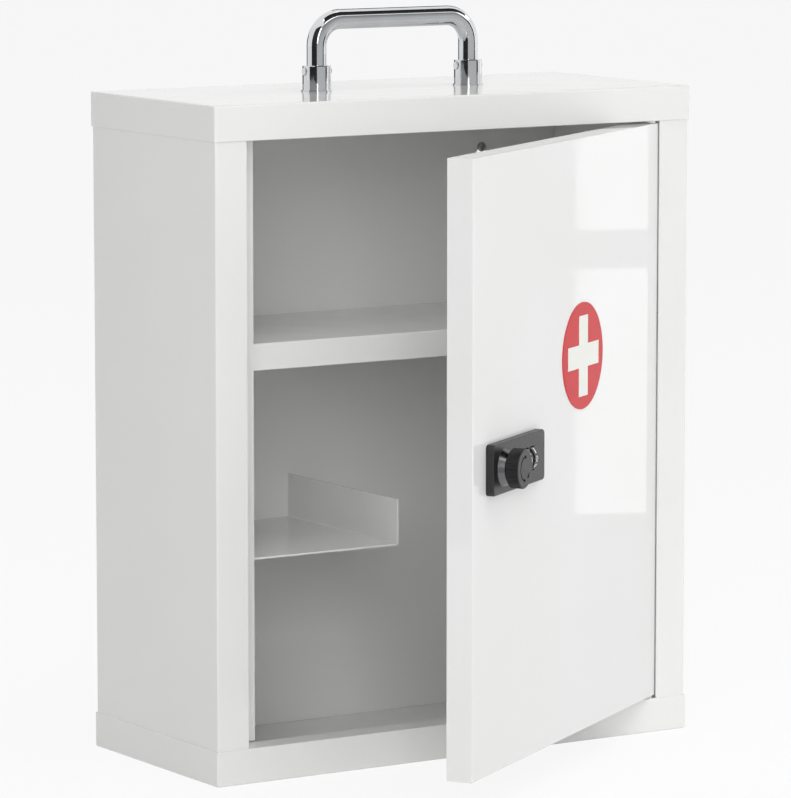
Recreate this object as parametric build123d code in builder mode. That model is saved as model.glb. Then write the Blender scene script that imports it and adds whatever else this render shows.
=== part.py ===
from build123d import *
from math import cos, radians, sin
import os

# Lockable wall cabinet folded from steel sheet. X is the width, the front faces -Y, Z is up, and the
# origin is the middle of the base. The door hangs on two pins at the right and stands ajar. All in mm.

# Cabinet body
width = 320.0  # outside, side to side
depth = 140.0  # outside, front to back
height = 380.0  # outside, from the base to the top sheet
sheet = 0.8  # steel sheet of the body and of the door
fold = 1.0  # outer radius of a fold
tight_fold = 0.2  # inner radius of a fold
edge_ease = 0.4  # rounding of a thin front edge
seam = 0.1  # play between pieces that slip together
cap_height = 20.0  # flange of the top cap and of the bottom tray
ledge_depth = 16.0  # inward fold at the front, above and below the door
stile_width = 20.8  # front frame beside the doorway, from the outside
rear_flange = 12.0  # inward fold at the back of each side
stop_width = 13.0  # strip that the door shuts against
stop_gap = 0.8  # between the stop strip's ends and the ledges

# Keyholes in the back
keyhole_spacing = 211.0
keyhole_drop = 47.4  # from the top down to the middle of the round entry
keyhole_entry_radius = 3.75
keyhole_slot_width = 3.6
keyhole_slot_rise = 6.0  # from the entry's middle up to the slot's end

# Shelf and side tray
shelf_top = 245.0
shelf_lip = 15.0
shelf_setback = 17.5  # from the cabinet's front
side_tray_floor = 124.3
side_tray_width = 128.9  # from the side wall to the lip's outer face
side_tray_lip = 25.5
side_tray_flange = 15.0
side_tray_sheet = 1.0
side_tray_fold = 2.0

# Door
door_gap = 1.5  # all round the door
door_depth = 15.2
door_angle = 33.8  # how far the door stands open
hinge_inset = 3.0  # from the door's right edge to the hinge axis
hinge_setback = 4.0  # from the door's face to the hinge axis
liner_flange = 6.0
door_edge = 0.8  # rounding of the door's front edges

# Hinge pins
pin_radius = 1.5
pin_reach = 9.0  # how far a pin goes into the door
pin_head_radius = 2.8
pin_head_height = 1.6
pin_play = 0.05
pin_hole_play = 0.3  # round the pin in the door's folded edge
hinge_block_width = 12.0
hinge_block_height = 12.0
hinge_block_depth = 6.4
washer_radius = 3.0
washer_height = 1.2

# Badge: a round plate with a plain cross
badge_radius = 30.2
badge_thickness = 0.5
badge_x = 157.2  # from the door's free edge
badge_z = 236.0
cross_length = 45.6
cross_arm = 13.0
cross_thickness = 0.3

# Combination lock
lock_x = 17.7  # from the door's free edge to the plate
lock_z = 189.2
plate_length = 73.0
plate_height = 28.0
plate_thickness = 4.6
plate_corner = 2.5
plate_edge = 0.9
knob_offset = 16.1  # from the plate's left end to the knob's axis
knob_radius = 10.9
knob_front = 16.3  # from the door's face to the knob's face
knob_length = 7.0  # of the grip
knob_neck_radius = 8.0
knob_edge = 0.6  # plain band in front of the ridges
knob_rim = 0.5  # rounding of that band
grip_ridges = 72
grip_depth = 0.4
collar_radius = 10.6
collar_top_radius = 8.7
collar_height = 3.4
arrow_radius = 6.4
arrow_width = 0.8
arrow_depth = 0.4
arrow_spans = ((93, 255), (317, 335))  # degrees round the knob, from the hinge side upwards
arrow_heads = ((93, -1), (255, 1), (317, -1))  # where each head stands, and which way round it points
arrow_head_width = 2.6
arrow_head_turn = 20  # degrees from a head's foot to its tip
housing_inset = 3.0  # from the plate's ends to the housing's ends
housing_side = 1.7  # from the plate's long edges to the housing
cavity_half_height = 10.0  # of the wheel cavity
cavity_play = 0.4  # beside the first wheel and the last fence tooth
pocket_play = 0.5  # round the fence bar's whole travel
plate_skin = 0.8  # left in front of the wheels' pocket in the plate
cutout_play = 0.3
mount_screw_inset = 3.0  # from the housing's ends to its screws
mount_screw_radius = 1.4
mount_screw_head_radius = 2.7
mount_screw_head = 1.8
mount_screw_length = 8.0

# Number wheels
wheel_count = 3
wheel_pitch = 8.0
last_wheel_x = 54.3  # from the plate's left end to the last wheel
wheel_radius = 7.6
wheel_width = 5.6
wheel_notches = 10
wheel_notch_radius = 0.6
wheel_play = 0.05
axle_radius = 1.5
axle_seat = 1.0  # how far the axle goes into each end wall
window_width = 6.4
window_height = 13.6
window_corner = 0.8
ring_radius = 3.5
ring_width = 1.4
gate_width = 1.4
gate_depth = 1.1

# Inside the lock
fence_thickness = 2.0
fence_gap = 0.3  # between the fence's teeth and the gate rings
fence_play = 0.2  # in front of the bar and behind it
fence_tooth = 1.0
fence_tooth_height = 5.0
fence_tooth_reach = 7.0  # out of the bar, towards the rings
fence_travel = 1.0
lobe_radius = 4.0
lobe_play = 0.1
fence_frame = 1.9  # metal round the fence's window
detent_thickness = 0.3
detent_gap = 0.4  # between the wheels and the leaves
detent_finger = 3.6
detent_reach = 8.0
detent_spine = 2.6
spindle_radius = 5.5
spindle_play = 0.05
spindle_rear_radius = 3.3
spindle_square = 4.4
square_play = 0.05
liner_hole_radius = 4.2

# Cam behind the door
cam_reach = 27.0
cam_width = 14.0
cam_thickness = 2.0
cam_gap = 0.7  # between the stop strip and the cam
cam_washer_radius = 4.2
cam_washer_height = 0.6
cam_screw_radius = 1.4
cam_screw_head_radius = 3.2
cam_screw_head = 1.8
cam_screw_length = 6.0

# Carrying handle
handle_spacing = 103.0
handle_top = 46.5  # above the cabinet's top
handle_radius = 5.75
handle_wall = 1.2
handle_bend = 15.0
socket_radius = 8.2
socket_height = 15.0
socket_floor = 3.0
socket_foot = 1.0  # thin flange at the socket's foot
socket_foot_radius = 8.8
cross_pin_radius = 1.4
cross_pin_height = 11.5  # above the cabinet's top
cross_pin_head_radius = 2.2
cross_pin_head = 1.2
cross_pin_seat = 0.6  # how far the head sits in the socket's side
handle_screw_radius = 2.4
handle_screw_head_radius = 4.2
handle_screw_head = 2.6
handle_screw_reach = 1.0  # past the socket's floor
handle_washer_radius = 6.5
handle_washer_height = 1.0

# Worked out from the sizes above
half_width = width / 2
half_depth = depth / 2
wall_x = half_width - sheet  # outer face of a side wall, inside the caps
inner_x = wall_x - sheet  # inner face of a side wall
inner_fold = fold - sheet  # inner radius of a fold
opening_x = half_width - stile_width  # half the doorway
stile_y = -half_depth + sheet
stop_y = -half_depth + ledge_depth
rear_y = half_depth - sheet  # rear face of the side panels' flanges
back_y = rear_y - sheet  # rear face of the back panel
lower_ledge = cap_height
upper_ledge = height - cap_height
door_width = 2 * (opening_x - door_gap)
door_height = upper_ledge - lower_ledge - 2 * door_gap
door_bottom = lower_ledge + door_gap
door_top = door_bottom + door_height
hinge_x = opening_x - door_gap - hinge_inset
hinge_y = -half_depth + hinge_setback

# The door's own plane: x from the free edge to the hinge, y up from the door's foot, z out of its face
shut_face = Plane(
    origin=(-opening_x + door_gap, -half_depth, door_bottom), x_dir=(1, 0, 0), z_dir=(0, -1, 0)
)
swing = Pos(hinge_x, hinge_y, 0) * Rot(0, 0, door_angle) * Pos(-hinge_x, -hinge_y, 0)
face = Plane(swing * shut_face.location)
outward = Axis(face.origin, face.z_dir)
middle = (door_width / 2, door_height / 2)
lock_y = lock_z - door_bottom
knob_x = lock_x + knob_offset
knob_at = (knob_x, lock_y)
plate_at = (lock_x + plate_length / 2, lock_y)
housing_left = lock_x + housing_inset
housing_length = plate_length - 2 * housing_inset
housing_height = plate_height - 2 * housing_side
housing_depth = door_depth - sheet  # it fills the door up to the inner panel
wheel_xs = [lock_x + last_wheel_x - wheel_pitch * back for back in reversed(range(wheel_count))]
ring_offset = wheel_width / 2 + ring_width / 2
cavity_depth = wheel_radius + detent_gap + detent_thickness
fence_depth = cavity_depth + fence_play  # from the door's face to the fence bar's front
cover_depth = fence_depth + fence_thickness + fence_play  # to the cover's front
lobe_throw = fence_travel / (2 * sin(radians(45)))  # a quarter turn moves the bar by its travel
lobe_at = (knob_x - lobe_throw * cos(radians(45)), lock_y + lobe_throw * sin(radians(45)))
window_half = lobe_radius + lobe_play
fence_top = lobe_at[1] + window_half + fence_frame
fence_foot = lobe_at[1] - window_half - fence_frame
tooth_top = lock_y - ring_radius - fence_gap
tooth_foot = tooth_top - fence_tooth_height
fence_left = knob_x - lobe_radius - fence_travel - fence_frame
frame_right = knob_x + lobe_radius + fence_travel + fence_frame
fence_right = wheel_xs[-1] + ring_offset + fence_tooth / 2
cavity_left = wheel_xs[0] - wheel_width / 2 - cavity_play
cavity_right = fence_right + cavity_play
pocket_left = fence_left - pocket_play
pocket_foot = tooth_foot - fence_travel - pocket_play
pocket_top = fence_top + pocket_play
cam_depth = ledge_depth + sheet + cam_gap
mount_screw_xs = [housing_left + mount_screw_inset, housing_left + housing_length - mount_screw_inset]
handle_spots = [(-handle_spacing / 2, 0), (handle_spacing / 2, 0)]


def across(x):
    """Plane square to the wheels' axle at x, with its x up and its y out of the door."""
    return Plane(origin=face.from_local_coords((x, lock_y, 0)), x_dir=face.y_dir, z_dir=face.x_dir)


def round_knob(radius, angle):
    """Point on the door's face at a radius and an angle in degrees round the knob's axis."""
    return (knob_x + radius * cos(radians(angle)), lock_y + radius * sin(radians(angle)))


def save(part, label):
    """Names a finished piece and writes it to its own file."""
    part.label = label
    export_step(part, f"parts/{label}.step")
    print(f"{label}: {len(part.solids())} solid(s), {part.volume:.1f} mm3")


os.makedirs("parts", exist_ok=True)

# Bottom tray: a base sheet with four flanges, and a ledge folded in from the front one
with BuildPart() as bottom_tray:
    with BuildSketch():
        Rectangle(width, depth)
    extrude(amount=cap_height)
    fillet(bottom_tray.edges().filter_by(Axis.Z), fold)
    fillet(bottom_tray.faces().sort_by(Axis.Z)[0].edges(), fold)
    with BuildSketch(Plane.XY.offset(sheet)):
        Rectangle(width - 2 * sheet, depth - 2 * sheet)
    extrude(amount=cap_height, mode=Mode.SUBTRACT)
    with BuildSketch(Plane.XY.offset(cap_height - sheet)):
        with Locations((0, -half_depth + ledge_depth / 2)):
            Rectangle(2 * (opening_x - seam), ledge_depth)
    extrude(amount=sheet)
    front_edges = bottom_tray.edges().filter_by(Axis.X).group_by(Axis.Y)[0]
    fillet(front_edges.sort_by(Axis.Z)[-1], edge_ease)
    with BuildSketch(Plane.XY.offset(cap_height)):
        with Locations((hinge_x, hinge_y)):
            Circle(pin_radius)
    extrude(amount=-2 * sheet, mode=Mode.SUBTRACT)
save(bottom_tray.part, "bottom_tray")

# Top cap: the same pressing turned over, with two holes for the handle's screws
with BuildPart() as top_cap:
    mirror(bottom_tray.part, about=Plane.XY.offset(height / 2))
    with BuildSketch(Plane.XY.offset(height)):
        with Locations(*handle_spots):
            Circle(handle_screw_radius)
    extrude(amount=-2 * sheet, mode=Mode.SUBTRACT)
save(top_cap.part, "top_cap")

# Side panels: rear flange, wall and front stile in one folded sheet, between the two end sheets
side_foot = sheet + seam
side_top = height - side_foot
wall_path = [
    (-wall_x + rear_flange, rear_y),
    (-wall_x, rear_y),
    (-wall_x, stile_y),
    (-opening_x, stile_y),
]
stop_path = wall_path + [(-opening_x, stop_y), (-opening_x + stop_width, stop_y)]
stop_foot = lower_ledge + stop_gap
stop_head = upper_ledge - stop_gap

# The left panel folds back from its stile and carries the stop strip, between the ledges
with BuildPart() as side_panel_left:
    with BuildSketch(Plane.XY.offset(side_foot)):
        with BuildLine():
            FilletPolyline(*wall_path, radius=fold)
            offset(amount=sheet, side=Side.LEFT)
        make_face()
    extrude(amount=side_top - side_foot)
    with BuildSketch(Plane.XY.offset(stop_foot)):
        with BuildLine():
            FilletPolyline(*stop_path, radius=[fold, fold, fold, tight_fold])
            offset(amount=sheet, side=Side.LEFT)
        make_face()
    extrude(amount=stop_head - stop_foot)
save(side_panel_left.part, "side_panel_left")

# The right panel's stile ends in a bare edge, so that the door's hinge side can swing in behind it
with BuildPart() as side_panel_right:
    with BuildSketch(Plane.XY.offset(side_foot)):
        with BuildLine():
            FilletPolyline(*[(-x, y) for x, y in wall_path], radius=fold)
            offset(amount=sheet, side=Side.RIGHT)
        make_face()
    extrude(amount=side_top - side_foot)
save(side_panel_right.part, "side_panel_right")

# Back panel: a flat sheet in front of the side panels' flanges, with two keyholes to hang it by
keyhole_z = height - keyhole_drop
with BuildPart() as back_panel:
    with BuildSketch(Plane.XZ.offset(-back_y)):
        with Locations((0, height / 2)):
            Rectangle(2 * (inner_x - inner_fold), side_top - side_foot)
        with Locations((-keyhole_spacing / 2, keyhole_z), (keyhole_spacing / 2, keyhole_z)):
            Circle(keyhole_entry_radius, mode=Mode.SUBTRACT)
            with Locations((0, (keyhole_slot_rise - keyhole_slot_width / 2) / 2)):
                Rectangle(keyhole_slot_width, keyhole_slot_rise - keyhole_slot_width / 2, mode=Mode.SUBTRACT)
            with Locations((0, keyhole_slot_rise - keyhole_slot_width / 2)):
                Circle(keyhole_slot_width / 2, mode=Mode.SUBTRACT)
    extrude(amount=sheet)
save(back_panel.part, "back_panel")

# Shelf: a pan turned over, spot-welded between the walls
inside_y = back_y - sheet  # front of the back panel
shelf_front = -half_depth + shelf_setback
with BuildPart() as shelf:
    with BuildSketch(Plane.XY.offset(shelf_top)):
        with Locations((0, (shelf_front + inside_y) / 2)):
            Rectangle(2 * inner_x, inside_y - shelf_front)
    extrude(amount=-shelf_lip)
    fillet(shelf.faces().sort_by(Axis.Z)[-1].edges(), fold)
    with BuildSketch(Plane.XY.offset(shelf_top - sheet)):
        with Locations((0, (shelf_front + inside_y) / 2)):
            Rectangle(2 * (inner_x - sheet), inside_y - shelf_front - 2 * sheet)
    extrude(amount=-shelf_lip, mode=Mode.SUBTRACT)
save(shelf.part, "shelf")

# Side tray: a half-width shelf on the left wall, with a raised lip at its free side
tray_left = -inner_x
tray_right = -inner_x + side_tray_width
with BuildPart() as side_tray:
    with BuildSketch(Plane.XZ.offset(-shelf_front)):
        with BuildLine():
            FilletPolyline(
                (tray_left, side_tray_floor - side_tray_flange),
                (tray_left, side_tray_floor),
                (tray_right - side_tray_sheet, side_tray_floor),
                (tray_right - side_tray_sheet, side_tray_floor + side_tray_lip),
                radius=[side_tray_fold, side_tray_fold - side_tray_sheet],
            )
            offset(amount=side_tray_sheet, side=Side.RIGHT)
        make_face()
    extrude(amount=-(inside_y - shelf_front))
    with BuildSketch(Plane.XZ.offset(-inside_y)):
        with Locations(((tray_left + tray_right) / 2, side_tray_floor - (side_tray_flange + side_tray_sheet) / 2)):
            Rectangle(tray_right - tray_left - 4 * side_tray_fold, side_tray_flange - side_tray_sheet)
    extrude(amount=side_tray_sheet)
save(side_tray.part, "side_tray")

# Hinge pins, riveted through the ledges, and the washers that the door runs against
for label, ledge, inward in (("lower", lower_ledge, 1), ("upper", upper_ledge, -1)):
    with BuildPart() as hinge_pin:
        with BuildSketch(Plane.XY.offset(ledge - inward * sheet)):
            with Locations((hinge_x, hinge_y)):
                Circle(pin_head_radius)
        extrude(amount=-inward * pin_head_height)
        with BuildSketch(Plane.XY.offset(ledge - inward * sheet)):
            with Locations((hinge_x, hinge_y)):
                Circle(pin_radius)
        extrude(amount=inward * (sheet + door_gap + pin_reach))
        tip = hinge_pin.faces().sort_by(Axis.Z)[-1 if inward > 0 else 0]
        chamfer(tip.edges(), pin_radius / 4)
    save(hinge_pin.part, f"hinge_pin_{label}")
    with BuildPart() as hinge_washer:
        with BuildSketch(Plane.XY.offset(ledge)):
            with Locations((hinge_x, hinge_y)):
                Circle(washer_radius)
                Circle(pin_radius, mode=Mode.SUBTRACT)
        extrude(amount=inward * washer_height)
    save(hinge_washer.part, f"hinge_washer_{label}")

# Door outer pan: the face with its four edges folded back, cut out for the lock and the pins
with BuildPart() as door_outer_pan:
    with BuildSketch(face):
        with Locations(middle):
            Rectangle(door_width, door_height)
    extrude(amount=-door_depth)
    fillet(door_outer_pan.faces().sort_by(outward)[-1].edges(), door_edge)
    with BuildSketch(face.offset(-sheet)):
        with Locations(middle):
            Rectangle(door_width - 2 * sheet, door_height - 2 * sheet)
    extrude(amount=-door_depth, mode=Mode.SUBTRACT)
    with BuildSketch(face):
        with Locations((housing_left + housing_length / 2, lock_y)):
            Rectangle(housing_length + 2 * cutout_play, housing_height + 2 * cutout_play)
    extrude(amount=-2 * sheet, mode=Mode.SUBTRACT)
    with BuildSketch(Plane.XY.offset(door_bottom - sheet)):
        with Locations((hinge_x, hinge_y)):
            Circle(pin_radius + pin_hole_play)
    extrude(amount=door_height + 2 * sheet, mode=Mode.SUBTRACT)
save(door_outer_pan.part, "door_outer_pan")

# Door inner panel: closes the door from behind, its edges folded forward inside the outer pan
with BuildPart() as door_inner_panel:
    with BuildSketch(face.offset(-door_depth)):
        with Locations(middle):
            Rectangle(door_width - 2 * sheet - 2 * seam, door_height - 2 * sheet - 2 * seam)
    extrude(amount=sheet + liner_flange)
    with BuildSketch(face.offset(-door_depth + sheet)):
        with Locations(middle):
            Rectangle(door_width - 4 * sheet - 2 * seam, door_height - 4 * sheet - 2 * seam)
    extrude(amount=2 * liner_flange, mode=Mode.SUBTRACT)
    with BuildSketch(face.offset(-door_depth)):
        with Locations(knob_at):
            Circle(liner_hole_radius)
        with Locations(*[(x, lock_y) for x in mount_screw_xs]):
            Circle(mount_screw_radius)
    extrude(amount=2 * sheet, mode=Mode.SUBTRACT)
save(door_inner_panel.part, "door_inner_panel")

# Hinge blocks: steel blocks in the door's two hinge corners, bored for the pins
block_x = door_width - sheet - hinge_block_width / 2
for label, block_y, end_z, inward in (
    ("lower", sheet + hinge_block_height / 2, door_bottom + sheet, 1),
    ("upper", door_height - sheet - hinge_block_height / 2, door_top - sheet, -1),
):
    with BuildPart() as hinge_block:
        with BuildSketch(face.offset(-sheet)):
            with Locations((block_x, block_y)):
                Rectangle(hinge_block_width, hinge_block_height)
        extrude(amount=-hinge_block_depth)
        with BuildSketch(Plane.XY.offset(end_z)):
            with Locations((hinge_x, hinge_y)):
                Circle(pin_radius + pin_play)
        extrude(amount=inward * hinge_block_height, mode=Mode.SUBTRACT)
    save(hinge_block.part, f"hinge_block_{label}")

# Badge: a thin round plate with a plain cross laid on it
badge_at = (badge_x, badge_z - door_bottom)
with BuildPart() as badge_disc:
    with BuildSketch(face):
        with Locations(badge_at):
            Circle(badge_radius)
    extrude(amount=badge_thickness)
save(badge_disc.part, "badge_disc")

with BuildPart() as badge_cross:
    with BuildSketch(face.offset(badge_thickness)):
        with Locations(badge_at):
            Rectangle(cross_length, cross_arm)
            Rectangle(cross_arm, cross_length)
    extrude(amount=cross_thickness)
save(badge_cross.part, "badge_cross")

# Lock plate: the black front of the lock, with a window for each number wheel and a pocket behind them
axle_length = cavity_right - cavity_left + 2 * axle_seat
with BuildPart() as lock_plate:
    with BuildSketch(face):
        with Locations(plate_at):
            RectangleRounded(plate_length, plate_height, plate_corner)
        with Locations(*[(x, lock_y) for x in wheel_xs]):
            RectangleRounded(window_width, window_height, window_corner, mode=Mode.SUBTRACT)
        with Locations(knob_at):
            Circle(spindle_radius + spindle_play, mode=Mode.SUBTRACT)
    extrude(amount=plate_thickness)
    outline = lock_plate.faces().sort_by(outward)[-1].outer_wire()
    fillet(outline.edges(), plate_edge)
    with BuildSketch(face):
        with Locations(((cavity_left + cavity_right) / 2, lock_y)):
            Rectangle(cavity_right - cavity_left, 2 * (wheel_radius + cavity_play))
    extrude(amount=plate_thickness - plate_skin, mode=Mode.SUBTRACT)
    with BuildSketch(across(cavity_left - axle_seat)):
        Circle(axle_radius)
    extrude(amount=axle_length, mode=Mode.SUBTRACT)
save(lock_plate.part, "lock_plate")

# Knob collar: a glossy cone between the plate and the knob
collar_base = plate_thickness
with BuildPart() as knob_collar:
    with BuildSketch(face.offset(collar_base)):
        with Locations(knob_at):
            Circle(collar_radius)
    with BuildSketch(face.offset(collar_base + collar_height)):
        with Locations(knob_at):
            Circle(collar_top_radius)
    loft()
    with BuildSketch(face.offset(collar_base)):
        with Locations(knob_at):
            Circle(spindle_radius + spindle_play)
    extrude(amount=collar_height, mode=Mode.SUBTRACT)
save(knob_collar.part, "knob_collar")

# Lock housing: the body behind the plate, hollowed for the wheels from the front, the fence from behind
with BuildPart() as lock_housing:
    with BuildSketch(face):
        with Locations((housing_left + housing_length / 2, lock_y)):
            Rectangle(housing_length, housing_height)
    extrude(amount=-housing_depth)
    with BuildSketch(face):
        with Locations(((cavity_left + cavity_right) / 2, lock_y)):
            Rectangle(cavity_right - cavity_left, 2 * cavity_half_height)
        with Locations(knob_at):
            Circle(spindle_radius + spindle_play)
    extrude(amount=-cavity_depth, mode=Mode.SUBTRACT)
    with BuildSketch(face.offset(-housing_depth)):
        with Locations(((pocket_left + cavity_right) / 2, (pocket_foot + pocket_top) / 2)):
            Rectangle(cavity_right - pocket_left, pocket_top - pocket_foot)
    extrude(amount=housing_depth - cavity_depth, mode=Mode.SUBTRACT)
    with BuildSketch(face.offset(-housing_depth)):
        with Locations(*[(x, lock_y) for x in mount_screw_xs]):
            Circle(mount_screw_radius)
    extrude(amount=mount_screw_length - sheet, mode=Mode.SUBTRACT)
    with BuildSketch(across(cavity_left - axle_seat)):
        Circle(axle_radius)
    extrude(amount=axle_length, mode=Mode.SUBTRACT)
save(lock_housing.part, "lock_housing")

# Lock cover: closes the fence's pocket from behind and carries the spindle's rear end
with BuildPart() as lock_cover:
    with BuildSketch(face.offset(-cover_depth)):
        with Locations(((pocket_left + cavity_right) / 2, (pocket_foot + pocket_top) / 2)):
            Rectangle(cavity_right - pocket_left - 2 * seam, pocket_top - pocket_foot - 2 * seam)
        with Locations(knob_at):
            Circle(spindle_rear_radius + spindle_play, mode=Mode.SUBTRACT)
    extrude(amount=-(housing_depth - cover_depth))
save(lock_cover.part, "lock_cover")

# Screws that clamp the lock to the door from behind
with BuildPart() as lock_screws:
    with BuildSketch(face.offset(-door_depth)):
        with Locations(*[(x, lock_y) for x in mount_screw_xs]):
            Circle(mount_screw_head_radius)
    extrude(amount=-mount_screw_head)
    fillet(lock_screws.faces().sort_by(outward)[:2].edges(), edge_ease)
    with BuildSketch(face.offset(-door_depth)):
        with Locations(*[(x, lock_y) for x in mount_screw_xs]):
            Circle(mount_screw_radius)
    extrude(amount=mount_screw_length)
save(lock_screws.part, "lock_screws")

# Number wheels on one axle, each with a gate ring at its right
with BuildPart() as wheel_axle:
    with BuildSketch(across(cavity_left - axle_seat)):
        Circle(axle_radius)
    extrude(amount=axle_length)
save(wheel_axle.part, "wheel_axle")

for number, wheel_x in enumerate(wheel_xs, 1):
    with BuildPart() as number_wheel:
        with BuildSketch(across(wheel_x - wheel_width / 2)):
            Circle(wheel_radius)
            Circle(axle_radius + wheel_play, mode=Mode.SUBTRACT)
            with PolarLocations(wheel_radius, wheel_notches, start_angle=180 / wheel_notches):
                Circle(wheel_notch_radius, mode=Mode.SUBTRACT)
        extrude(amount=wheel_width)
    save(number_wheel.part, f"number_wheel_{number}")
    with BuildPart() as gate_ring:
        with BuildSketch(across(wheel_x + wheel_width / 2)):
            Circle(ring_radius)
            Circle(axle_radius + wheel_play, mode=Mode.SUBTRACT)
            with Locations((-ring_radius + gate_depth / 2, 0)):
                Rectangle(2 * gate_depth, gate_width, mode=Mode.SUBTRACT)
        extrude(amount=ring_width)
    save(gate_ring.part, f"gate_ring_{number}")

# Detent spring: a comb of leaves, one behind each wheel
comb_top = lock_y + cavity_half_height
comb_length = wheel_xs[-1] - wheel_xs[0] + wheel_width
with BuildPart() as detent_spring:
    with BuildSketch(face.offset(-cavity_depth)):
        with Locations(((wheel_xs[0] + wheel_xs[-1]) / 2, comb_top - detent_spine / 2)):
            Rectangle(comb_length, detent_spine)
        with Locations(*[(x, comb_top - detent_spine - detent_reach / 2) for x in wheel_xs]):
            Rectangle(detent_finger, detent_reach)
    extrude(amount=detent_thickness)
save(detent_spring.part, "detent_spring")

# Fence bar: its window rides on the spindle's lobe, and its teeth stand between the wheels at their rings
with BuildPart() as fence_bar:
    with BuildSketch(face.offset(-fence_depth)):
        with Locations(((fence_left + frame_right) / 2, (fence_top + fence_foot) / 2)):
            Rectangle(frame_right - fence_left, fence_top - fence_foot)
        with Locations((frame_right - fence_frame / 2, (fence_foot + tooth_foot) / 2)):
            Rectangle(fence_frame, fence_foot - tooth_foot)
        with Locations(((frame_right - fence_frame + fence_right) / 2, (tooth_top + tooth_foot) / 2)):
            Rectangle(fence_right - frame_right + fence_frame, fence_tooth_height)
        with Locations((knob_x, lobe_at[1])):
            Rectangle(2 * (lobe_radius + fence_travel), 2 * window_half, mode=Mode.SUBTRACT)
    extrude(amount=-fence_thickness)
    with BuildSketch(face.offset(-fence_depth)):
        with Locations(*[(x + ring_offset, (tooth_top + tooth_foot) / 2) for x in wheel_xs]):
            Rectangle(fence_tooth, fence_tooth_height)
    extrude(amount=fence_tooth_reach)
save(fence_bar.part, "fence_bar")

# Knob: a ribbed grip on a plain neck, with curved arrows sunk in its face
grip_outline = []
for ridge in range(2 * grip_ridges):
    grip_outline.append(round_knob(knob_radius - grip_depth * (ridge % 2), 180 * ridge / grip_ridges))
knob_base = knob_front - knob_length
neck_base = collar_base + collar_height
with BuildPart() as knob:
    with BuildSketch(face.offset(knob_base)):
        with BuildLine():
            Polyline(*grip_outline, close=True)
        make_face()
    extrude(amount=knob_length - knob_edge)
    with BuildSketch(face.offset(knob_front - knob_edge)):
        with Locations(knob_at):
            Circle(knob_radius - grip_depth)
    extrude(amount=knob_edge)
    rim = knob.faces().sort_by(outward)[-1].edges()
    fillet(rim, knob_rim)
    with BuildSketch(face.offset(neck_base + seam)):
        with Locations(knob_at):
            Circle(knob_neck_radius)
    extrude(amount=knob_base - neck_base - seam)
    with BuildSketch(face.offset(knob_front)):
        inner, outer = arrow_radius - arrow_width / 2, arrow_radius + arrow_width / 2
        for first, last in arrow_spans:
            with BuildLine():
                CenterArc(knob_at, inner, first, last - first)
                CenterArc(knob_at, outer, first, last - first)
                Line(round_knob(inner, first), round_knob(outer, first))
                Line(round_knob(inner, last), round_knob(outer, last))
            make_face()
        for foot, way in arrow_heads:
            with BuildLine():
                Polyline(
                    round_knob(arrow_radius - arrow_head_width / 2, foot),
                    round_knob(arrow_radius + arrow_head_width / 2, foot),
                    round_knob(arrow_radius, foot + way * arrow_head_turn),
                    close=True,
                )
            make_face()
    extrude(amount=-arrow_depth, mode=Mode.SUBTRACT)
save(knob.part, "knob")

# Spindle: steps down from the knob to the cam, with the lobe that moves the fence bar
lobe_depth = fence_depth - lobe_play
shoulder_depth = fence_depth + fence_thickness + lobe_play
with BuildPart() as spindle:
    with BuildSketch(face.offset(neck_base + seam)):
        with Locations(knob_at):
            Circle(spindle_radius)
    extrude(amount=-(neck_base + seam + lobe_depth))
    with BuildSketch(face.offset(-lobe_depth)):
        with Locations(lobe_at):
            Circle(lobe_radius)
    extrude(amount=-(shoulder_depth - lobe_depth))
    with BuildSketch(face.offset(-shoulder_depth)):
        with Locations(knob_at):
            Circle(spindle_rear_radius)
    extrude(amount=-(cam_depth - shoulder_depth))
    with BuildSketch(face.offset(-cam_depth)):
        with Locations(knob_at):
            Rectangle(spindle_square, spindle_square)
    extrude(amount=-cam_thickness)
    with BuildSketch(face.offset(-(cam_depth + cam_thickness))):
        with Locations(knob_at):
            Circle(cam_screw_radius)
    extrude(amount=cam_screw_length, mode=Mode.SUBTRACT)
save(spindle.part, "spindle")

# Cam: swings behind the stop strip when the knob is turned; here it stands upright, unlocked
with BuildPart() as cam:
    with BuildSketch(face.offset(-cam_depth)):
        with Locations(knob_at):
            Circle(cam_width / 2)
        with Locations((knob_x, lock_y + (cam_reach - cam_width / 4) / 2)):
            Rectangle(cam_width, cam_reach - cam_width / 4)
        with Locations((knob_x, lock_y + cam_reach - cam_width / 4)):
            RectangleRounded(cam_width, cam_width / 2, cam_width / 5)
        with Locations(knob_at):
            Rectangle(spindle_square + 2 * square_play, spindle_square + 2 * square_play, mode=Mode.SUBTRACT)
    extrude(amount=-cam_thickness)
save(cam.part, "cam")

with BuildPart() as cam_washer:
    with BuildSketch(face.offset(-(cam_depth + cam_thickness))):
        with Locations(knob_at):
            Circle(cam_washer_radius)
            Circle(cam_screw_radius, mode=Mode.SUBTRACT)
    extrude(amount=-cam_washer_height)
save(cam_washer.part, "cam_washer")

with BuildPart() as cam_screw:
    with BuildSketch(face.offset(-(cam_depth + cam_thickness + cam_washer_height))):
        with Locations(knob_at):
            Circle(cam_screw_head_radius)
    extrude(amount=-cam_screw_head)
    fillet(cam_screw.faces().sort_by(outward)[0].edges(), edge_ease)
    with BuildSketch(face.offset(-(cam_depth + cam_thickness + cam_washer_height))):
        with Locations(knob_at):
            Circle(cam_screw_radius)
    extrude(amount=cam_screw_length + cam_washer_height - seam)
save(cam_screw.part, "cam_screw")

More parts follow.
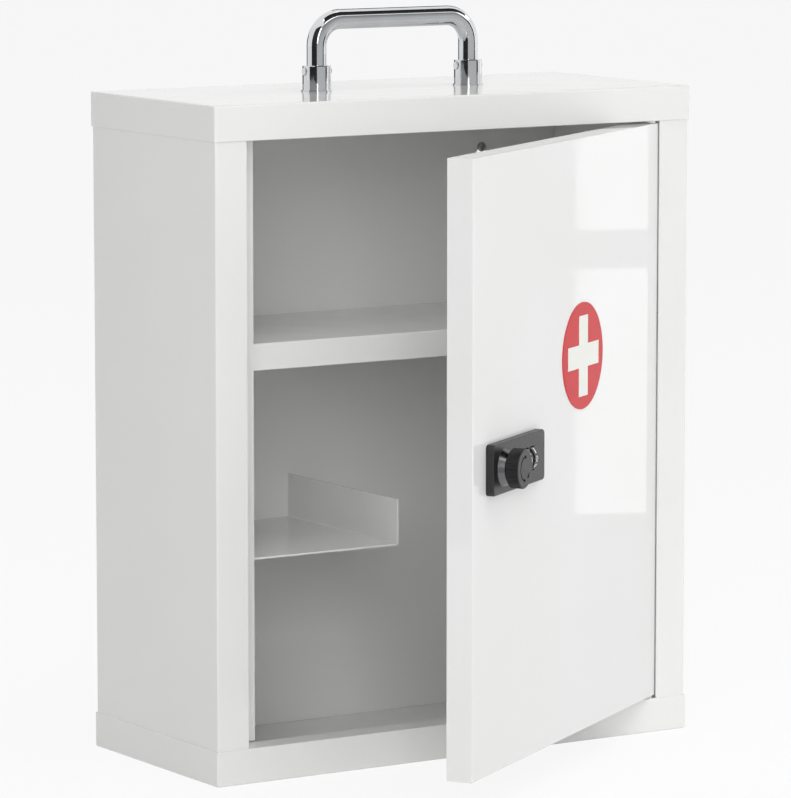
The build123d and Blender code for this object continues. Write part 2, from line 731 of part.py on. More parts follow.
# Handle: a bent tube whose two legs stand in sockets on the cabinet's top
leg_foot = height + socket_floor
bar_z = height + handle_top - handle_radius
with BuildPart() as handle_bar:
    with BuildLine():
        FilletPolyline(
            (-handle_spacing / 2, 0, leg_foot),
            (-handle_spacing / 2, 0, bar_z),
            (handle_spacing / 2, 0, bar_z),
            (handle_spacing / 2, 0, leg_foot),
            radius=handle_bend,
        )
    with BuildSketch(Plane(origin=(-handle_spacing / 2, 0, leg_foot), z_dir=(0, 0, 1))):
        Circle(handle_radius)
        Circle(handle_radius - handle_wall, mode=Mode.SUBTRACT)
    sweep()
    with BuildSketch(Plane.YZ.offset(-handle_spacing)):
        with Locations((0, height + cross_pin_height)):
            Circle(cross_pin_radius)
    extrude(amount=2 * handle_spacing, mode=Mode.SUBTRACT)
save(handle_bar.part, "handle_bar")

for label, (spot_x, spot_y) in zip(("left", "right"), handle_spots):
    with BuildPart() as handle_socket:
        with BuildSketch(Plane.XY.offset(height)):
            with Locations((spot_x, spot_y)):
                Circle(socket_foot_radius)
        extrude(amount=socket_foot)
        with BuildSketch(Plane.XY.offset(height)):
            with Locations((spot_x, spot_y)):
                Circle(socket_radius)
        extrude(amount=socket_height)
        chamfer(handle_socket.faces().sort_by(Axis.Z)[-1].edges(), edge_ease)
        with BuildSketch(Plane.XY.offset(leg_foot)):
            with Locations((spot_x, spot_y)):
                Circle(handle_radius)
        extrude(amount=socket_height, mode=Mode.SUBTRACT)
        with BuildSketch(Plane.XY.offset(height)):
            with Locations((spot_x, spot_y)):
                Circle(handle_screw_radius)
        extrude(amount=socket_floor, mode=Mode.SUBTRACT)
        with BuildSketch(Plane.YZ.offset(spot_x - socket_radius)):
            with Locations((0, height + cross_pin_height)):
                Circle(cross_pin_radius)
        extrude(amount=2 * socket_radius, mode=Mode.SUBTRACT)
        for side in (-1, 1):
            with BuildSketch(Plane.YZ.offset(spot_x + side * (socket_radius - cross_pin_seat))):
                with Locations((0, height + cross_pin_height)):
                    Circle(cross_pin_head_radius + seam)
            extrude(amount=side * cross_pin_head, mode=Mode.SUBTRACT)
    save(handle_socket.part, f"handle_socket_{label}")

# Rivets across the sockets, with low domed heads
with BuildPart() as handle_rivets:
    for spot_x, spot_y in handle_spots:
        with BuildSketch(Plane.YZ.offset(spot_x - socket_radius + cross_pin_seat)):
            with Locations((0, height + cross_pin_height)):
                Circle(cross_pin_radius)
        extrude(amount=2 * (socket_radius - cross_pin_seat))
        for side in (-1, 1):
            with BuildSketch(Plane.YZ.offset(spot_x + side * (socket_radius - cross_pin_seat))):
                with Locations((0, height + cross_pin_height)):
                    Circle(cross_pin_head_radius)
            extrude(amount=side * cross_pin_head)
    head_faces = handle_rivets.faces().filter_by(GeomType.PLANE).filter_by(Axis.X).group_by(Axis.X)
    for outer_faces in (head_faces[0], head_faces[-1]):
        fillet(outer_faces.edges(), edge_ease)
save(handle_rivets.part, "handle_rivets")

# Screws and washers that hold the sockets from inside the cabinet
screw_seat = height - sheet - handle_washer_height
with BuildPart() as handle_washers:
    with BuildSketch(Plane.XY.offset(height - sheet)):
        with Locations(*handle_spots):
            Circle(handle_washer_radius)
            Circle(handle_screw_radius, mode=Mode.SUBTRACT)
    extrude(amount=-handle_washer_height)
save(handle_washers.part, "handle_washers")

with BuildPart() as handle_screws:
    with BuildSketch(Plane.XY.offset(screw_seat)):
        with Locations(*handle_spots):
            Circle(handle_screw_head_radius)
    extrude(amount=-handle_screw_head)
    fillet(handle_screws.faces().sort_by(Axis.Z)[:2].edges(), edge_ease)
    with BuildSketch(Plane.XY.offset(screw_seat)):
        with Locations(*handle_spots):
            Circle(handle_screw_radius)
    extrude(amount=handle_washer_height + sheet + socket_floor + handle_screw_reach)
save(handle_screws.part, "handle_screws")
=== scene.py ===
from math import cos, pi, radians, sin

import bmesh
import bpy
from mathutils import Matrix, Vector


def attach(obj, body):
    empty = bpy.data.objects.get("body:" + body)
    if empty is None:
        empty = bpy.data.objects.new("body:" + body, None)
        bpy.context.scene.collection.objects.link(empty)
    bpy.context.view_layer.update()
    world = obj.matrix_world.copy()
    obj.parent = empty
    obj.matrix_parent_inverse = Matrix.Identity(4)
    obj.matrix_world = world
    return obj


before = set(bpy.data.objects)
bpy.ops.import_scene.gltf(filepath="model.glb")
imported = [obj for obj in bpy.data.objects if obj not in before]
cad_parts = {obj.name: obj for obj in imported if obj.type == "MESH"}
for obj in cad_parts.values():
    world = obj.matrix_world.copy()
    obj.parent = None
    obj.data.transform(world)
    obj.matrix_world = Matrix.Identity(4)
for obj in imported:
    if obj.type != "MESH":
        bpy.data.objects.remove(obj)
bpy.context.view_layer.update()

# ---------------------------------------------------------------- camera
# A long lens far to the left of the front and a little above the cabinet, so that the uprights stay upright
# and both the left side and the open door's face show.
scene = bpy.context.scene
camera_data = bpy.data.cameras.new("camera")
camera_data.sensor_width = 36.0
camera_data.lens = 224.08
camera_data.clip_end = 50.0
camera = bpy.data.objects.new("camera", camera_data)
camera.location = (-1.529898, -2.414175, 0.576098)
camera_dip, camera_turn = 7.507, 32.3916
camera.rotation_euler = (radians(90 - camera_dip), 0, radians(-camera_turn))
scene.collection.objects.link(camera)
scene.camera = camera
scene.view_settings.view_transform = "Standard"


# ---------------------------------------------------------------- floor, world and light
# A white studio sweep: a pale matt floor that fades into a white world. Four large soft boxes and the world's
# even glow light the cabinet at a plain level, the strongest from the front left, into the open doorway.
def linear(hex_colour):
    """sRGB hex to the linear colour that a shader's socket takes."""
    channels = [int(hex_colour[i : i + 2], 16) / 255 for i in (1, 3, 5)]
    return [c / 12.92 if c <= 0.04045 else ((c + 0.055) / 1.055) ** 2.4 for c in channels] + [1.0]


def add(tree, kind, settings=None, **inputs):
    """Adds a node. An input is a value or another node's output, and its name has _ for a space."""
    node = tree.nodes.new(kind)
    for name, value in (settings or {}).items():
        setattr(node, name, value)
    for name, value in inputs.items():
        key = int(name[1:]) if name[0] == "i" and name[1:].isdigit() else name.replace("_", " ")
        if isinstance(value, bpy.types.NodeSocket):
            tree.links.new(value, node.inputs[key])
        else:
            node.inputs[key].default_value = value
    return node


def seen_directly(tree):
    """1 where a surface is seen by the camera or in a reflection, 0 where it lights other things."""
    path = add(tree, "ShaderNodeLightPath").outputs
    mirror = add(
        tree, "ShaderNodeMath", {"operation": "MAXIMUM"}, i0=path["Is Glossy Ray"], i1=path["Is Transmission Ray"]
    )
    return add(
        tree, "ShaderNodeMath", {"operation": "MAXIMUM"}, i0=path["Is Camera Ray"], i1=mirror.outputs[0]
    ).outputs[0]


def new_object(name, mesh):
    piece = bpy.data.objects.new(name, mesh)
    scene.collection.objects.link(piece)
    return piece


world_glow = 0.44
world = bpy.data.worlds.new("studio")
scene.world = world
world.use_nodes = True
tree = world.node_tree
tree.nodes.clear()
glow = add(tree, "ShaderNodeBackground", Color=linear("#FFFFFF"), Strength=world_glow)
white = add(tree, "ShaderNodeBackground", Color=linear("#FFFFFF"), Strength=1.0)
mixed = add(tree, "ShaderNodeMixShader", Fac=seen_directly(tree), i1=glow.outputs[0], i2=white.outputs[0])
add(tree, "ShaderNodeOutputWorld", Surface=mixed.outputs[0])

# An eighth of the floor's own shading stays in the picture, so the cabinet keeps its shadow on the white
floor_shadow = 0.125
floor_mesh = bpy.data.meshes.new("floor")
floor_mesh.from_pydata([(-9, -9, 0), (9, -9, 0), (9, 9, 0), (-9, 9, 0)], [], [(0, 1, 2, 3)])
floor = new_object("floor", floor_mesh)
floor_paint = bpy.data.materials.new("studio_floor_paint")
floor_paint.use_nodes = True
tree = floor_paint.node_tree
tree.nodes.clear()
matt = add(tree, "ShaderNodeBsdfDiffuse", Color=linear("#F4F4F4"))
lit = add(tree, "ShaderNodeEmission", Color=linear("#FFFFFF"), Strength=1.0)
pale = add(tree, "ShaderNodeMixShader", Fac=floor_shadow, i1=lit.outputs[0], i2=matt.outputs[0])
mixed = add(tree, "ShaderNodeMixShader", Fac=seen_directly(tree), i1=matt.outputs[0], i2=pale.outputs[0])
add(tree, "ShaderNodeOutputMaterial", Surface=mixed.outputs[0])
floor_mesh.materials.append(floor_paint)

cabinet_middle = Vector((0.0, 0.0, 0.2))
# Each lamp faces the cabinet's middle. The low one stands behind the front card, so that the chrome shows only
# the card.
for name, place, width, height, watts in (
    ("overhead_softbox", (0.25, -0.75, 2.2), 1.8, 1.8, 13.5),
    ("front_left_softbox", (-1.6, -2.3, 1.3), 1.4, 1.6, 27.5),
    ("right_softbox", (2.3, -0.9, 1.0), 1.6, 1.6, 11.0),
    ("low_softbox", (-0.3, -3.9, 0.45), 3.2, 0.8, 16.0),
):
    lamp = bpy.data.lights.new(name, "AREA")
    lamp.shape = "RECTANGLE"
    lamp.size, lamp.size_y = width, height
    lamp.energy = watts
    softbox = bpy.data.objects.new(name, lamp)
    softbox.location = place
    softbox.rotation_euler = (cabinet_middle - Vector(place)).to_track_quat("-Z", "Y").to_euler()
    softbox.visible_camera = False
    scene.collection.objects.link(softbox)

# Cards that only reflections see: grey cards and dark flags draw the bands on the chrome, and two bright panes
# beyond the hinge side lie in the door's gloss as a window does. Each is a corner, its two edges and its
# brightness at the foot and at the top.
cards = (
    ("front_card", (-4.5, -3.6, -0.3), (9.0, 0, 0), (0, 0, 3.4), 0.62, 0.22),
    ("front_ground", (-3.5, -3.6, 0.004), (8.0, 0, 0), (0, 3.0, 0.002), 0.6, 0.6),
    ("left_flag", (-1.25, 0.0, 0.0), (0.63, -1.05, 0), (0, 0, 1.5), 0.02, 0.05),
    ("right_flag", (1.53, -1.64, 0.0), (0.35, 0.42, 0), (0, 0, 0.9), 0.03, 0.03),
    ("top_flag", (-0.4, -0.95, 1.40), (2.8, 0, 0), (0, 1.0, 0.33), 0.05, 0.01),
    ("back_flag", (1.2, 2.5, 1.15), (2.0, 0, 0), (0, 0, 1.7), 0.1, 0.1),
    ("back_left_flag", (-0.9, 2.5, 0.05), (1.5, 0, 0), (0, 0, 0.8), 0.1, 0.1),
    ("window_wall", (0.57, -0.30, -0.3), (0, 0.6, 0), (0, 0, 0.9), 1.0, 1.0),
    ("window_reveal", (0.56, -0.30, -0.3), (0, 0.272, 0), (0, 0, 0.9), 1.0, 1.0),
    ("window_pane_upper", (0.55, -0.028, 0.256), (0, 0.053, 0), (0, 0, 0.20), 1.65, 1.65),
    ("window_pane_lower", (0.55, -0.028, 0.065), (0, 0.053, 0), (0, 0, 0.165), 1.65, 1.65),
)
for name, corner, along, up, foot, top in cards:
    corner, along, up = Vector(corner), Vector(along), Vector(up)
    mesh = bpy.data.meshes.new(name)
    mesh.from_pydata([corner, corner + along, corner + along + up, corner + up], [], [(0, 1, 2, 3)])
    card = new_object(name, mesh)
    card.visible_camera = card.visible_diffuse = card.visible_shadow = False
    card.visible_transmission = card.visible_volume_scatter = False
    paper = bpy.data.materials.new(f"{name}_paper")
    paper.use_nodes = True
    tree = paper.node_tree
    tree.nodes.clear()
    rise = add(tree, "ShaderNodeSeparateXYZ", Vector=add(tree, "ShaderNodeTexCoord").outputs["Generated"])
    fade = add(tree, "ShaderNodeMapRange", Value=rise.outputs["Z"], To_Min=foot, To_Max=top)
    light = add(tree, "ShaderNodeEmission", Color=linear("#FFFFFF"), Strength=fade.outputs[0])
    add(tree, "ShaderNodeOutputMaterial", Surface=light.outputs[0])
    mesh.materials.append(paper)

# ---------------------------------------------------------------- body sheets, shelf and side tray
# The body is 0.8 mm steel sheet, folded and spot-welded, then powder-coated white in one go, inside and out:
# two pressed end trays, two side walls, the back, the shelf and the half-width tray on the left wall.


def per_mm(size):
    """Texture scale at which one cell is this many mm across, on coordinates in metres."""
    return 1000 / size


def new_material(name):
    """A named material with an empty node tree, and the tree."""
    material = bpy.data.materials.new(name)
    material.use_nodes = True
    material.node_tree.nodes.clear()
    return material, material.node_tree


def dress(material, *nodes):
    """Gives CAD nodes this material."""
    for node in nodes:
        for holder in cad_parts[node].material_slots:
            holder.material = material


def mottled(tree, cell, low, high, **noise):
    """Where this piece's noise, with cells of so many mm, lies between low and high."""
    place = add(tree, "ShaderNodeTexCoord").outputs["Object"]
    field = add(tree, "ShaderNodeTexNoise", Vector=place, Scale=per_mm(cell), **noise)
    return add(
        tree, "ShaderNodeMapRange", Value=field.outputs["Fac"], From_Min=0.3, From_Max=0.7, To_Min=low, To_Max=high
    ).outputs[0]


def between(tree, field, hex_low, hex_high):
    """A colour that goes from one hex to the other with the field."""
    tones = {"i6": linear(hex_low), "i7": linear(hex_high)}
    return add(tree, "ShaderNodeMix", {"data_type": "RGBA"}, i0=field, **tones).outputs["Result"]


def raised(tree, field, strength, height):
    """Fine relief of so many mm where the field is high."""
    return add(tree, "ShaderNodeBump", Strength=strength, Distance=height / 1000, Height=field).outputs[0]


def finish(tree, tone, relief, **skin):
    """The surface's own shader: its colour, its relief and its roughness and gloss."""
    shader = add(tree, "ShaderNodeBsdfPrincipled", Base_Color=tone, Normal=relief, **skin)
    add(tree, "ShaderNodeOutputMaterial", Surface=shader.outputs[0])


# Polyester powder coat, sprayed and baked: a closed white film with a soft gloss and a slight orange peel,
# and its white is a touch uneven from sheet to sheet.
powder_coat, tree = new_material("white_polyester_powder_coat")
cloud = mottled(tree, 90.0, 0.0, 1.0, Detail=1.0)
tone = between(tree, cloud, "#E9E9E7", "#ECECEB")
peel = mottled(tree, 1.8, 0.0, 1.0, Detail=2.0)
relief = raised(tree, peel, 0.2, 0.002)
finish(tree, tone, relief, Roughness=mottled(tree, 40.0, 0.13, 0.16, Detail=1.0), IOR=1.5)
dress(
    powder_coat,
    "bottom_tray",
    "top_cap",
    "side_panel_left",
    "side_panel_right",
    "back_panel",
    "shelf",
    "side_tray",
    "door_inner_panel",
)

# ---------------------------------------------------------------- spot welds on the rear flanges
# The back panel is spot-welded to the side walls' rear flanges. Each weld is a low round button, 5 mm
# across, that shows through the powder coat.
weld_pitch, weld_radius, weld_height = 42.0, 2.5, 0.12
flange_x, flange_y, weld_foot, weld_count = 153.2, 69.2, 43.0, 8
weld_spots = [
    (side * flange_x / 1000, flange_y / 1000, (weld_foot + weld_pitch * step) / 1000)
    for side in (-1, 1)
    for step in range(weld_count)
]

weld_tree = bpy.data.node_groups.new("spot_welds", "GeometryNodeTree")
for name, kind in (
    ("Spots", "NodeSocketGeometry"),
    ("Weld Radius", "NodeSocketFloat"),
    ("Weld Height", "NodeSocketFloat"),
    ("Coat", "NodeSocketMaterial"),
):
    weld_tree.interface.new_socket(name, in_out="INPUT", socket_type=kind)
weld_tree.interface.new_socket("Welds", in_out="OUTPUT", socket_type="NodeSocketGeometry")
sizes = add(weld_tree, "NodeGroupInput").outputs
button = add(weld_tree, "GeometryNodeMeshUVSphere", Segments=20, Rings=6, Radius=1.0)
spread = add(
    weld_tree, "ShaderNodeCombineXYZ", X=sizes["Weld Radius"], Y=sizes["Weld Height"], Z=sizes["Weld Radius"]
)
spots = add(weld_tree, "GeometryNodeMeshToPoints", Mesh=sizes["Spots"])
placed = add(
    weld_tree,
    "GeometryNodeInstanceOnPoints",
    Points=spots.outputs[0],
    Instance=button.outputs[0],
    Scale=spread.outputs[0],
)
solid = add(weld_tree, "GeometryNodeRealizeInstances", Geometry=placed.outputs[0])
coated = add(weld_tree, "GeometryNodeSetMaterial", Geometry=solid.outputs[0], Material=sizes["Coat"])
add(weld_tree, "NodeGroupOutput", Welds=coated.outputs[0])


def grown(name, seeds, tree, values):
    """Runs a Geometry Nodes tree on seed points and keeps the result as a plain mesh."""
    mesh = bpy.data.meshes.new(f"{name}_seeds")
    mesh.from_pydata(seeds, [], [])
    maker = new_object(f"{name}_maker", mesh)
    modifier = maker.modifiers.new("grow", "NODES")
    modifier.node_group = tree
    sockets = {item.name: item.identifier for item in tree.interface.items_tree if item.in_out == "INPUT"}
    for socket, value in values.items():
        modifier[sockets[socket]] = value
    ready = maker.evaluated_get(bpy.context.evaluated_depsgraph_get())
    result = bpy.data.meshes.new_from_object(ready)
    bpy.data.objects.remove(maker)
    return new_object(name, result)


spot_welds = grown(
    "spot_welds",
    weld_spots,
    weld_tree,
    {"Weld Radius": weld_radius / 1000, "Weld Height": weld_height / 1000, "Coat": powder_coat},
)
for face in spot_welds.data.polygons:
    face.use_smooth = True
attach(spot_welds, "cabinet")

# ---------------------------------------------------------------- wall screws in the keyholes
# Two pan-head screws that the cabinet hangs on, zinc-plated, with a cross recess. Each head stands in front
# of the back panel, over the slot, and its shank ends flush with the wall.
screw_head_radius, screw_head_height, screw_shank_radius = 2.9, 1.9, 1.6
recess_length, recess_width, recess_depth = 3.6, 0.8, 1.0
keyhole_x, screw_z, panel_front, wall_y = 105.5, 337.0, 67.6, 69.9


def turned(name, outline, sides=48):
    """Closed solid turned about Z from an outline of (radius, z) that starts and ends on the axis."""
    form = bmesh.new()
    rings = []
    for radius, z in outline:
        if radius == 0:
            rings.append([form.verts.new((0, 0, z))])
        else:
            turn = [2 * pi * side / sides for side in range(sides)]
            rings.append([form.verts.new((radius * cos(t), radius * sin(t), z)) for t in turn])
    for low, high in zip(rings, rings[1:]):
        for side in range(sides):
            after = (side + 1) % sides
            if len(low) == 1:
                form.faces.new((low[0], high[side], high[after]))
            elif len(high) == 1:
                form.faces.new((low[side], low[after], high[0]))
            else:
                form.faces.new((low[side], low[after], high[after], high[side]))
    bmesh.ops.recalc_face_normals(form, faces=form.faces)
    mesh = bpy.data.meshes.new(name)
    form.to_mesh(mesh)
    form.free()
    return mesh


def block(name, size, centre):
    """Closed box of a size round a centre."""
    form = bmesh.new()
    bmesh.ops.create_cube(form, size=1.0)
    bmesh.ops.scale(form, vec=size, verts=form.verts)
    bmesh.ops.translate(form, vec=centre, verts=form.verts)
    mesh = bpy.data.meshes.new(name)
    form.to_mesh(mesh)
    form.free()
    return mesh


def smooth_below(mesh, angle):
    """Smooth shading, with an edge kept sharp where its faces meet at more than this angle."""
    form = bmesh.new()
    form.from_mesh(mesh)
    for face in form.faces:
        face.smooth = True
    for edge in form.edges:
        edge.smooth = edge.calc_face_angle(pi) < radians(angle)
    form.to_mesh(mesh)
    form.free()


head = [
    (0, screw_head_height),
    (1.3, 0.97 * screw_head_height),
    (2.2, 0.80 * screw_head_height),
    (2.7, 0.50 * screw_head_height),
    (screw_head_radius, 0.22 * screw_head_height),
    (screw_head_radius, 0),
    (screw_shank_radius, 0),
    (screw_shank_radius, panel_front - wall_y),
    (0, panel_front - wall_y),
]
screw_form = new_object("wall_screw_form", turned("wall_screw_form", head))
cutters = []
for index, size in enumerate(((recess_length, recess_width), (recess_width, recess_length))):
    cut_centre = (0, 0, screw_head_height)
    cutter = new_object(f"cross_cut_{index}", block("cross_cut", (*size, 2 * recess_depth), cut_centre))
    cutting = screw_form.modifiers.new("recess", "BOOLEAN")
    cutting.object, cutting.operation, cutting.solver = cutter, "DIFFERENCE", "EXACT"
    cutters.append(cutter)
ready = screw_form.evaluated_get(bpy.context.evaluated_depsgraph_get())
screw_mesh = bpy.data.meshes.new_from_object(ready)
for helper in (screw_form, *cutters):
    bpy.data.objects.remove(helper)
smooth_below(screw_mesh, 40)

# Zinc-plated steel, barrel-plated and passivated: a cool grey metal, satin, with a faint cloud of blue and
# straw in it and fine tumbling marks.
zinc_plate, tree = new_material("zinc_plated_steel")
cloud = mottled(tree, 4.0, 0.0, 1.0, Detail=3.0)
tone = between(tree, cloud, "#A9AEB4", "#B9B9B0")
marks = mottled(tree, 0.5, 0.0, 1.0, Detail=4.0)
relief = raised(tree, marks, 0.4, 0.01)
finish(tree, tone, relief, Metallic=1.0, Roughness=mottled(tree, 1.5, 0.28, 0.42, Detail=3.0))
for side, name in ((-1, "wall_screw_left"), (1, "wall_screw_right")):
    mesh = screw_mesh.copy()
    mesh.name = name
    stand = Matrix.Translation((side * keyhole_x / 1000, panel_front / 1000, screw_z / 1000))
    mesh.transform(stand @ Matrix.Rotation(radians(90), 4, "X") @ Matrix.Scale(0.001, 4))
    mesh.materials.clear()
    mesh.materials.append(zinc_plate)
    wall_screw = new_object(name, mesh)
    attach(wall_screw, "cabinet")

# ---------------------------------------------------------------- hinges
# Two steel pins are riveted through the ledges above and below the door and turn in bored steel blocks in
# its corners. A nylon washer keeps the door off each ledge.
dress(zinc_plate, "hinge_pin_lower", "hinge_pin_upper", "hinge_block_lower", "hinge_block_upper")

# Nylon, punched from extruded sheet: milky and slightly waxy, with a fine drag texture
nylon, tree = new_material("natural_nylon")
cloud = mottled(tree, 2.0, 0.0, 1.0, Detail=2.0)
tone = between(tree, cloud, "#DEDCD2", "#E6E4DC")
drag = mottled(tree, 0.3, 0.0, 1.0, Detail=2.0)
relief = raised(tree, drag, 0.3, 0.01)
finish(tree, tone, relief, Roughness=mottled(tree, 1.0, 0.38, 0.5, Detail=2.0), IOR=1.53)
dress(nylon, "hinge_washer_lower", "hinge_washer_upper")

# ---------------------------------------------------------------- door
# The door's outer pan is the showpiece: steel sheet folded at its four edges, wet-sprayed in high-gloss
# white enamel and polished, so that it mirrors the room at a shallow angle.
gloss_enamel, tree = new_material("high_gloss_white_enamel")
cloud = mottled(tree, 120.0, 0.0, 1.0, Detail=1.0)
tone = between(tree, cloud, "#E8E8E7", "#EBEBEB")
wave = mottled(tree, 30.0, 0.0, 1.0, Detail=1.0)
relief = raised(tree, wave, 0.5, 0.02)
finish(tree, tone, relief, Roughness=mottled(tree, 25.0, 0.03, 0.06, Detail=2.0), IOR=1.5)
dress(gloss_enamel, "door_outer_pan")

# ---------------------------------------------------------------- badge
# A round red plate glued to the door: vinyl film on thin sheet, die-cut, with a plain pale cross laid on it.
# The red film's thin top coat is smooth but mirrors only a little, so it stays deep where the door goes pale.
red_film, tree = new_material("gloss_red_vinyl_film")
cloud = mottled(tree, 25.0, 0.0, 1.0, Detail=1.0)
tone = between(tree, cloud, "#CB2A30", "#D02F35")
wave = mottled(tree, 6.0, 0.0, 1.0, Detail=2.0)
relief = raised(tree, wave, 0.4, 0.01)
finish(
    tree,
    tone,
    relief,
    Roughness=mottled(tree, 5.0, 0.14, 0.2, Detail=2.0),
    IOR=1.46,
    Specular_IOR_Level=0.12,
)
dress(red_film, "badge_disc")

# The cross is the same film in an off-white, a shade warmer than the door
pale_film, tree = new_material("gloss_off_white_vinyl_film")
cloud = mottled(tree, 25.0, 0.0, 1.0, Detail=1.0)
tone = between(tree, cloud, "#E6E7E0", "#E9EAE4")
wave = mottled(tree, 6.0, 0.0, 1.0, Detail=2.0)
relief = raised(tree, wave, 0.4, 0.01)
finish(tree, tone, relief, Roughness=mottled(tree, 5.0, 0.12, 0.2, Detail=2.0), IOR=1.46)
dress(pale_film, "badge_cross")

# ---------------------------------------------------------------- lock plate, knob and housing
# The combination lock's plate, knob and housing are moulded in black ABS with a fine satin texture, and
# clamped to the door from behind with two screws.
satin_abs, tree = new_material("satin_black_abs")
cloud = mottled(tree, 8.0, 0.0, 1.0, Detail=2.0)
tone = between(tree, cloud, "#1D1D1F", "#212123")
spark = mottled(tree, 0.35, 0.0, 1.0, Detail=2.0)
relief = raised(tree, spark, 0.5, 0.01)
finish(tree, tone, relief, Roughness=mottled(tree, 3.0, 0.34, 0.42, Detail=2.0), IOR=1.53)
dress(satin_abs, "lock_plate", "knob", "lock_housing", "lock_cover")
dress(zinc_plate, "lock_screws", "spindle", "cam", "cam_washer", "cam_screw", "fence_bar", "wheel_axle")

# The collar under the knob is turned brass, polished and plated in black nickel: a dark, smoky mirror. Its grey
# is also set a step darker than the plating's own, as painted shade for the dark on the ring under the knob's
# head.
smoky_nickel_and_painted_shade, tree = new_material("smoky_nickel_plate_and_painted_shade")
cloud = mottled(tree, 5.0, 0.0, 1.0, Detail=2.0)
tone = between(tree, cloud, "#68686A", "#727274")
rings = mottled(tree, 0.6, 0.0, 1.0, Detail=2.0)
relief = raised(tree, rings, 0.3, 0.005)
finish(tree, tone, relief, Metallic=1.0, Roughness=mottled(tree, 2.0, 0.16, 0.24, Detail=2.0))
dress(smoky_nickel_and_painted_shade, "knob_collar")

# The knob's arrows are sunk in its face, and their matt black fill is painted shade for the dark in the depth of
# the grooves. Sizes and angles are the grooves' own, and the painted shade stands a little above their floor.
door_angle, hinge_x, hinge_y = 33.8, 134.7, -66.0
door_edge_x, door_front_y, door_foot_z = -137.7, -70.0, 21.5
knob_x, lock_y, knob_front = 33.8, 167.7, 16.3
arrow_radius, arrow_width, arrow_sink = 6.4, 0.8, 0.3
arrow_spans = ((93, 255), (317, 335))
arrow_heads = ((93, -1), (255, 1), (317, -1))
arrow_head_width, arrow_head_turn, arc_step = 2.6, 20.0, 3.0

# From the door's own plane (x from the free edge, y up from its foot, z out of its face, in mm) to the room
hinge = Vector((hinge_x, hinge_y, 0))
swing = Matrix.Translation(hinge) @ Matrix.Rotation(radians(door_angle), 4, "Z") @ Matrix.Translation(-hinge)
shut = Matrix.Translation((door_edge_x, door_front_y, door_foot_z)) @ Matrix.Rotation(radians(90), 4, "X")
on_door = Matrix.Scale(0.001, 4) @ swing @ shut


def round_knob(radius, angle):
    return (
        knob_x + radius * cos(radians(angle)),
        lock_y + radius * sin(radians(angle)),
        knob_front - arrow_sink,
    )


form = bmesh.new()
inner, outer = arrow_radius - arrow_width / 2, arrow_radius + arrow_width / 2
for first, last in arrow_spans:
    steps = round((last - first) / arc_step)
    turns = [first + (last - first) * step / steps for step in range(steps + 1)]
    edges = [[form.verts.new(round_knob(radius, turn)) for radius in (inner, outer)] for turn in turns]
    for here, there in zip(edges, edges[1:]):
        form.faces.new((here[0], here[1], there[1], there[0]))
for foot, way in arrow_heads:
    tip = form.verts.new(round_knob(arrow_radius, foot + way * arrow_head_turn))
    barbs = [
        form.verts.new(round_knob(arrow_radius + side * arrow_head_width / 2, foot)) for side in (way, -way)
    ]
    form.faces.new((tip, *barbs))
bmesh.ops.recalc_face_normals(form, faces=form.faces)
for face in form.faces:
    if face.normal.z < 0:
        face.normal_flip()
arrow_mesh = bpy.data.meshes.new("knob_arrow_painted_shade")
form.to_mesh(arrow_mesh)
form.free()
arrow_mesh.transform(on_door)

# Painted shade: a matt black fill for the dark in the grooves, no gloss, slightly grainy
groove_painted_shade, tree = new_material("matt_black_groove_painted_shade")
grain = mottled(tree, 0.4, 0.0, 1.0, Detail=2.0)
tone = between(tree, grain, "#0A0A0A", "#111111")
relief = raised(tree, grain, 0.5, 0.02)
finish(tree, tone, relief, Roughness=mottled(tree, 0.8, 0.75, 0.9, Detail=2.0), Specular_IOR_Level=0.15)
arrow_mesh.materials.append(groove_painted_shade)
knob_arrow_painted_shade = new_object("knob_arrow_painted_shade", arrow_mesh)
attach(knob_arrow_painted_shade, "knob")

# ---------------------------------------------------------------- number wheels
# Three wheels turned from gloss black acetal, each with ten pale digits printed round its rim, a brass gate
# ring pressed on its side and a sprung steel leaf behind it.
wheel_xs, wheel_radius = (56.0, 64.0, 72.0), 7.6
digit_height, digit_width, digit_depth = 3.4, 2.5, 0.05
digit_turn, slice_step = 36.0, 0.3

# Acetal, turned and polished: deep black with a sharp gloss and faint turning rings
acetal, tree = new_material("gloss_black_acetal")
grain = mottled(tree, 1.2, 0.0, 1.0, Detail=2.0)
tone = between(tree, grain, "#0B0B0C", "#101011")
relief = raised(tree, grain, 0.3, 0.005)
finish(tree, tone, relief, Roughness=mottled(tree, 2.0, 0.14, 0.22, Detail=2.0), IOR=1.48)
dress(acetal, "number_wheel_1", "number_wheel_2", "number_wheel_3")

# Pad-printed ink, two coats: opaque, off-white and a little chalky
ink, tree = new_material("off_white_pad_print_ink")
grain = mottled(tree, 0.5, 0.0, 1.0, Detail=2.0)
tone = between(tree, grain, "#F0F0EB", "#F6F6F2")
relief = raised(tree, grain, 0.3, 0.01)
finish(tree, tone, relief, Roughness=mottled(tree, 0.8, 0.4, 0.55, Detail=2.0), IOR=1.46)


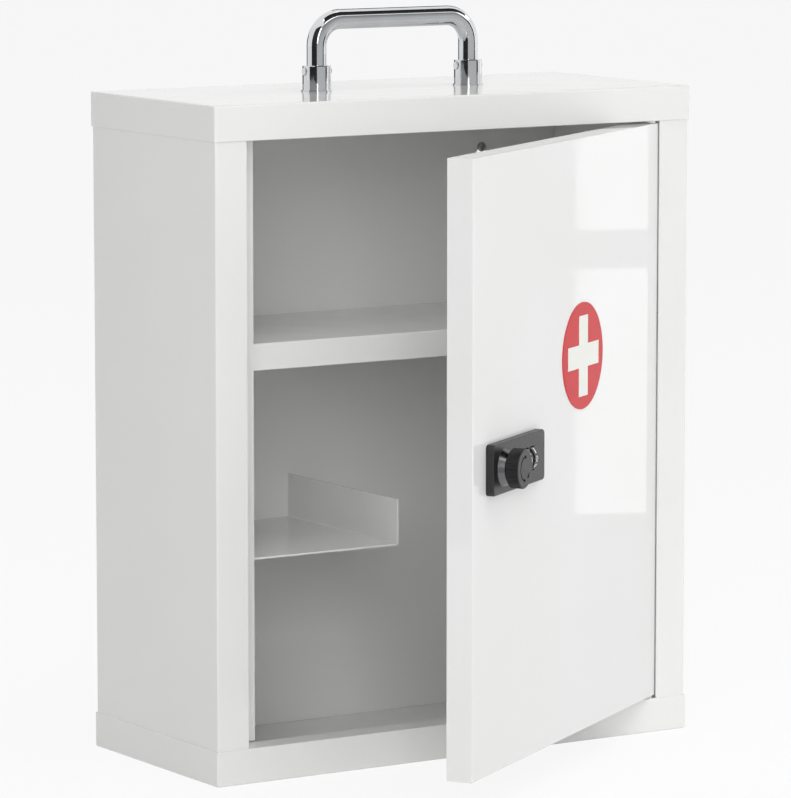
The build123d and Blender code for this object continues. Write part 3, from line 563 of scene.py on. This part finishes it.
def digit_form(digit):
    """One digit as a thin solid, centred, in mm, cut across into slices that can follow the wheel's rim."""
    curve = bpy.data.curves.new(f"digit_{digit}", "FONT")
    curve.body = str(digit)
    curve.offset = -0.014
    curve.extrude = 0.02
    curve.resolution_u = 6
    words = new_object(f"digit_{digit}_text", curve)
    ready = words.evaluated_get(bpy.context.evaluated_depsgraph_get())
    mesh = bpy.data.meshes.new_from_object(ready)
    bpy.data.objects.remove(words)
    form = bmesh.new()
    form.from_mesh(mesh)
    bmesh.ops.remove_doubles(form, verts=form.verts, dist=1e-5)
    low = [min(v.co[axis] for v in form.verts) for axis in range(3)]
    high = [max(v.co[axis] for v in form.verts) for axis in range(3)]
    thin = digit == 1
    sizes = (digit_width * (0.4 if thin else 1.0), digit_height, 2 * digit_depth)
    for vert in form.verts:
        for axis in range(3):
            part = (vert.co[axis] - low[axis]) / (high[axis] - low[axis]) - 0.5
            vert.co[axis] = part * sizes[axis]
    level = -digit_height / 2 + slice_step
    while level < digit_height / 2:
        whole = form.verts[:] + form.edges[:] + form.faces[:]
        bmesh.ops.bisect_plane(form, geom=whole, plane_co=(0, level, 0), plane_no=(0, 1, 0))
        level += slice_step
    bmesh.ops.recalc_face_normals(form, faces=form.faces)
    return form


digit_meshes = []
for digit in range(10):
    form = digit_form(digit)
    for vert in form.verts:
        across, round_rim, out = vert.co
        turn = round_rim / wheel_radius + radians(digit * digit_turn)
        reach = wheel_radius + out
        vert.co = (across, reach * sin(turn), reach * cos(turn))
    mesh = bpy.data.meshes.new(f"rim_digit_{digit}")
    form.to_mesh(mesh)
    form.free()
    digit_meshes.append(mesh)

for number, wheel_x in enumerate(wheel_xs, 1):
    form = bmesh.new()
    for mesh in digit_meshes:
        form.from_mesh(mesh)
    rim_mesh = bpy.data.meshes.new(f"wheel_digits_{number}")
    form.to_mesh(rim_mesh)
    form.free()
    rim_mesh.transform(on_door @ Matrix.Translation((wheel_x, lock_y, 0)))
    rim_mesh.materials.append(ink)
    wheel_digits = new_object(f"wheel_digits_{number}", rim_mesh)
    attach(wheel_digits, f"wheel_{number}")

# Turned brass, left bare: warm yellow metal with fine rings
brass, tree = new_material("turned_brass")
grain = mottled(tree, 0.8, 0.0, 1.0, Detail=3.0)
tone = between(tree, grain, "#C79F4C", "#D3AE62")
relief = raised(tree, grain, 0.3, 0.01)
finish(tree, tone, relief, Metallic=1.0, Roughness=mottled(tree, 0.8, 0.25, 0.35, Detail=3.0))
dress(brass, "gate_ring_1", "gate_ring_2", "gate_ring_3")

# Spring steel strip, blued by tempering
blued_steel, tree = new_material("blued_spring_steel")
cloud = mottled(tree, 3.0, 0.0, 1.0, Detail=3.0)
tone = between(tree, cloud, "#3F4650", "#56565A")
relief = raised(tree, cloud, 0.3, 0.01)
finish(tree, tone, relief, Metallic=1.0, Roughness=mottled(tree, 1.0, 0.28, 0.4, Detail=3.0))
dress(blued_steel, "detent_spring")

# ---------------------------------------------------------------- handle
# A drawn steel tube, bent twice and chromium-plated, stands in two plated sockets. A rivet pins each leg,
# and a screw from inside the cabinet holds each socket.
bright_chrome, tree = new_material("bright_chromium_plate")
cloud = mottled(tree, 15.0, 0.0, 1.0, Detail=2.0)
tone = between(tree, cloud, "#D2D4D7", "#DADBDD")
draw = mottled(tree, 6.0, 0.0, 1.0, Detail=2.0)
relief = raised(tree, draw, 0.3, 0.01)
finish(tree, tone, relief, Metallic=1.0, Roughness=mottled(tree, 10.0, 0.04, 0.08, Detail=2.0))
dress(bright_chrome, "handle_bar", "handle_socket_left", "handle_socket_right", "handle_rivets")
dress(zinc_plate, "handle_washers", "handle_screws")
